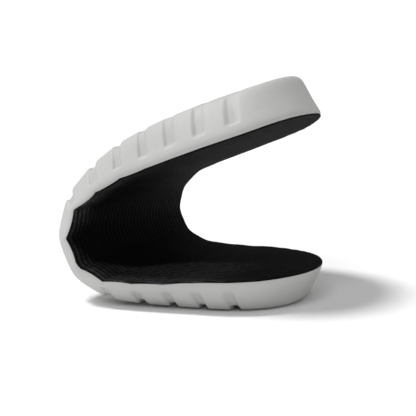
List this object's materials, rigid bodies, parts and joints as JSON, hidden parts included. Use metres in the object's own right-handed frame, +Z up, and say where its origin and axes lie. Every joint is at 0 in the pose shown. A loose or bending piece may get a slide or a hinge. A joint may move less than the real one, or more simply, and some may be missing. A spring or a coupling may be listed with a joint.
{
  "type": "soft back protector",
  "caption": "Oval moulded foam back pad with transverse flex grooves and a bonded dark knit liner, shown folded double with the liner inside.",
  "frame": {"origin": "middle of the folded pad's footprint, on the plane that the lower arm's outer face lies on", "axes": "+Z up, +X from the fold towards the two free ends, Y across the pad"},
  "size_m": [0.2066, 0.206, 0.1908],
  "materials": {
    "moulded_foam": "soft matte closed-cell foam skin, off-white",
    "knit_liner": "black ribbed knit, ribs along the pad's length"
  },
  "bodies": {
    "end_lower": {"foam_end_lower": "moulded_foam", "liner_end_lower": "knit_liner"},
    "rib_01": {"foam_rib_01": "moulded_foam", "liner_rib_01": "knit_liner"},
    "rib_02": {"foam_rib_02": "moulded_foam", "liner_rib_02": "knit_liner"},
    "rib_03": {"foam_rib_03": "moulded_foam", "liner_rib_03": "knit_liner"},
    "rib_04": {"foam_rib_04": "moulded_foam", "liner_rib_04": "knit_liner"},
    "rib_05": {"foam_rib_05": "moulded_foam", "liner_rib_05": "knit_liner"},
    "rib_06": {"foam_rib_06": "moulded_foam", "liner_rib_06": "knit_liner"},
    "rib_07": {"foam_rib_07": "moulded_foam", "liner_rib_07": "knit_liner"},
    "rib_08": {"foam_rib_08": "moulded_foam", "liner_rib_08": "knit_liner"},
    "rib_09": {"foam_rib_09": "moulded_foam", "liner_rib_09": "knit_liner"},
    "rib_10": {"foam_rib_10": "moulded_foam", "liner_rib_10": "knit_liner"},
    "rib_11": {"foam_rib_11": "moulded_foam", "liner_rib_11": "knit_liner"},
    "rib_12": {"foam_rib_12": "moulded_foam", "liner_rib_12": "knit_liner"},
    "rib_13": {"foam_rib_13": "moulded_foam", "liner_rib_13": "knit_liner"},
    "end_upper": {"foam_end_upper": "moulded_foam", "liner_end_upper": "knit_liner"}
  },
  "joints": [
    {"name": "lower_curl", "type": "hinge", "parent": "end_lower", "child": "rib_01", "pos_m": [0.051, 0, 0.02686], "axis": [0, 1, 0], "range_deg": [0, 7], "stiffness_Nm_per_rad": 6},
    {"name": "lower_curl_flex_02", "type": "hinge", "parent": "rib_01", "child": "rib_02", "pos_m": [0.02601, 0, 0.02599], "axis": [0, 1, 0], "range_deg": [-0.01, 7.01], "stiffness_Nm_per_rad": 6},
    {"name": "lower_curl_flex_03", "type": "hinge", "parent": "rib_02", "child": "rib_03", "pos_m": [0.00103, 0, 0.02511], "axis": [0, 1, 0], "range_deg": [-0.01, 7.01], "stiffness_Nm_per_rad": 6},
    {"name": "fold_flex_04", "type": "hinge", "parent": "rib_03", "child": "rib_04", "pos_m": [-0.02396, 0, 0.02424], "axis": [0, -1, 0], "range_deg": [-0.25, 2.41], "stiffness_Nm_per_rad": 6},
    {"name": "fold", "type": "hinge", "parent": "rib_04", "child": "rib_05", "pos_m": [-0.04896, 0, 0.02441], "axis": [0, -1, 0], "range_deg": [-2.28, 22.8], "stiffness_Nm_per_rad": 6},
    {"name": "fold_flex_06", "type": "hinge", "parent": "rib_05", "child": "rib_06", "pos_m": [-0.07194, 0, 0.03426], "axis": [0, -1, 0], "range_deg": [-4.19, 41.81], "stiffness_Nm_per_rad": 6},
    {"name": "fold_flex_07", "type": "hinge", "parent": "rib_06", "child": "rib_07", "pos_m": [-0.0825, 0, 0.05692], "axis": [0, -1, 0], "range_deg": [-4.07, 40.61], "stiffness_Nm_per_rad": 6},
    {"name": "fold_flex_08", "type": "hinge", "parent": "rib_07", "child": "rib_08", "pos_m": [-0.07578, 0, 0.081], "axis": [0, -1, 0], "range_deg": [-3.2, 31.91], "stiffness_Nm_per_rad": 6},
    {"name": "fold_flex_09", "type": "hinge", "parent": "rib_08", "child": "rib_09", "pos_m": [-0.05735, 0, 0.09789], "axis": [0, -1, 0], "range_deg": [-1.68, 16.71], "stiffness_Nm_per_rad": 6},
    {"name": "fold_flex_10", "type": "hinge", "parent": "rib_09", "child": "rib_10", "pos_m": [-0.03484, 0, 0.10877], "axis": [0, -1, 0], "range_deg": [-0.56, 5.51], "stiffness_Nm_per_rad": 6},
    {"name": "upper_curl", "type": "hinge", "parent": "rib_10", "child": "rib_11", "pos_m": [-0.01139, 0, 0.11744], "axis": [0, 1, 0], "range_deg": [0, 10], "stiffness_Nm_per_rad": 6},
    {"name": "upper_curl_flex_12", "type": "hinge", "parent": "rib_11", "child": "rib_12", "pos_m": [0.01206, 0, 0.12612], "axis": [0, 1, 0], "range_deg": [-0.01, 10.01], "stiffness_Nm_per_rad": 6},
    {"name": "upper_curl_flex_13", "type": "hinge", "parent": "rib_12", "child": "rib_13", "pos_m": [0.0355, 0, 0.13479], "axis": [0, 1, 0], "range_deg": [-0.01, 10.01], "stiffness_Nm_per_rad": 6},
    {"name": "upper_curl_flex_14", "type": "hinge", "parent": "rib_13", "child": "end_upper", "pos_m": [0.05895, 0, 0.14346], "axis": [0, 1, 0], "range_deg": [-0.01, 10.01], "stiffness_Nm_per_rad": 6}
  ],
  "couplings": [
    {"joint": "lower_curl_flex_02", "follows": "lower_curl", "ratio": 1},
    {"joint": "lower_curl_flex_03", "follows": "lower_curl", "ratio": 1},
    {"joint": "fold_flex_04", "follows": "fold", "ratio": 0.10526},
    {"joint": "fold_flex_06", "follows": "fold", "ratio": 1.8333},
    {"joint": "fold_flex_07", "follows": "fold", "ratio": 1.7807},
    {"joint": "fold_flex_08", "follows": "fold", "ratio": 1.3991},
    {"joint": "fold_flex_09", "follows": "fold", "ratio": 0.73246},
    {"joint": "fold_flex_10", "follows": "fold", "ratio": 0.24123},
    {"joint": "upper_curl_flex_12", "follows": "upper_curl", "ratio": 1},
    {"joint": "upper_curl_flex_13", "follows": "upper_curl", "ratio": 1},
    {"joint": "upper_curl_flex_14", "follows": "upper_curl", "ratio": 1}
  ]
}
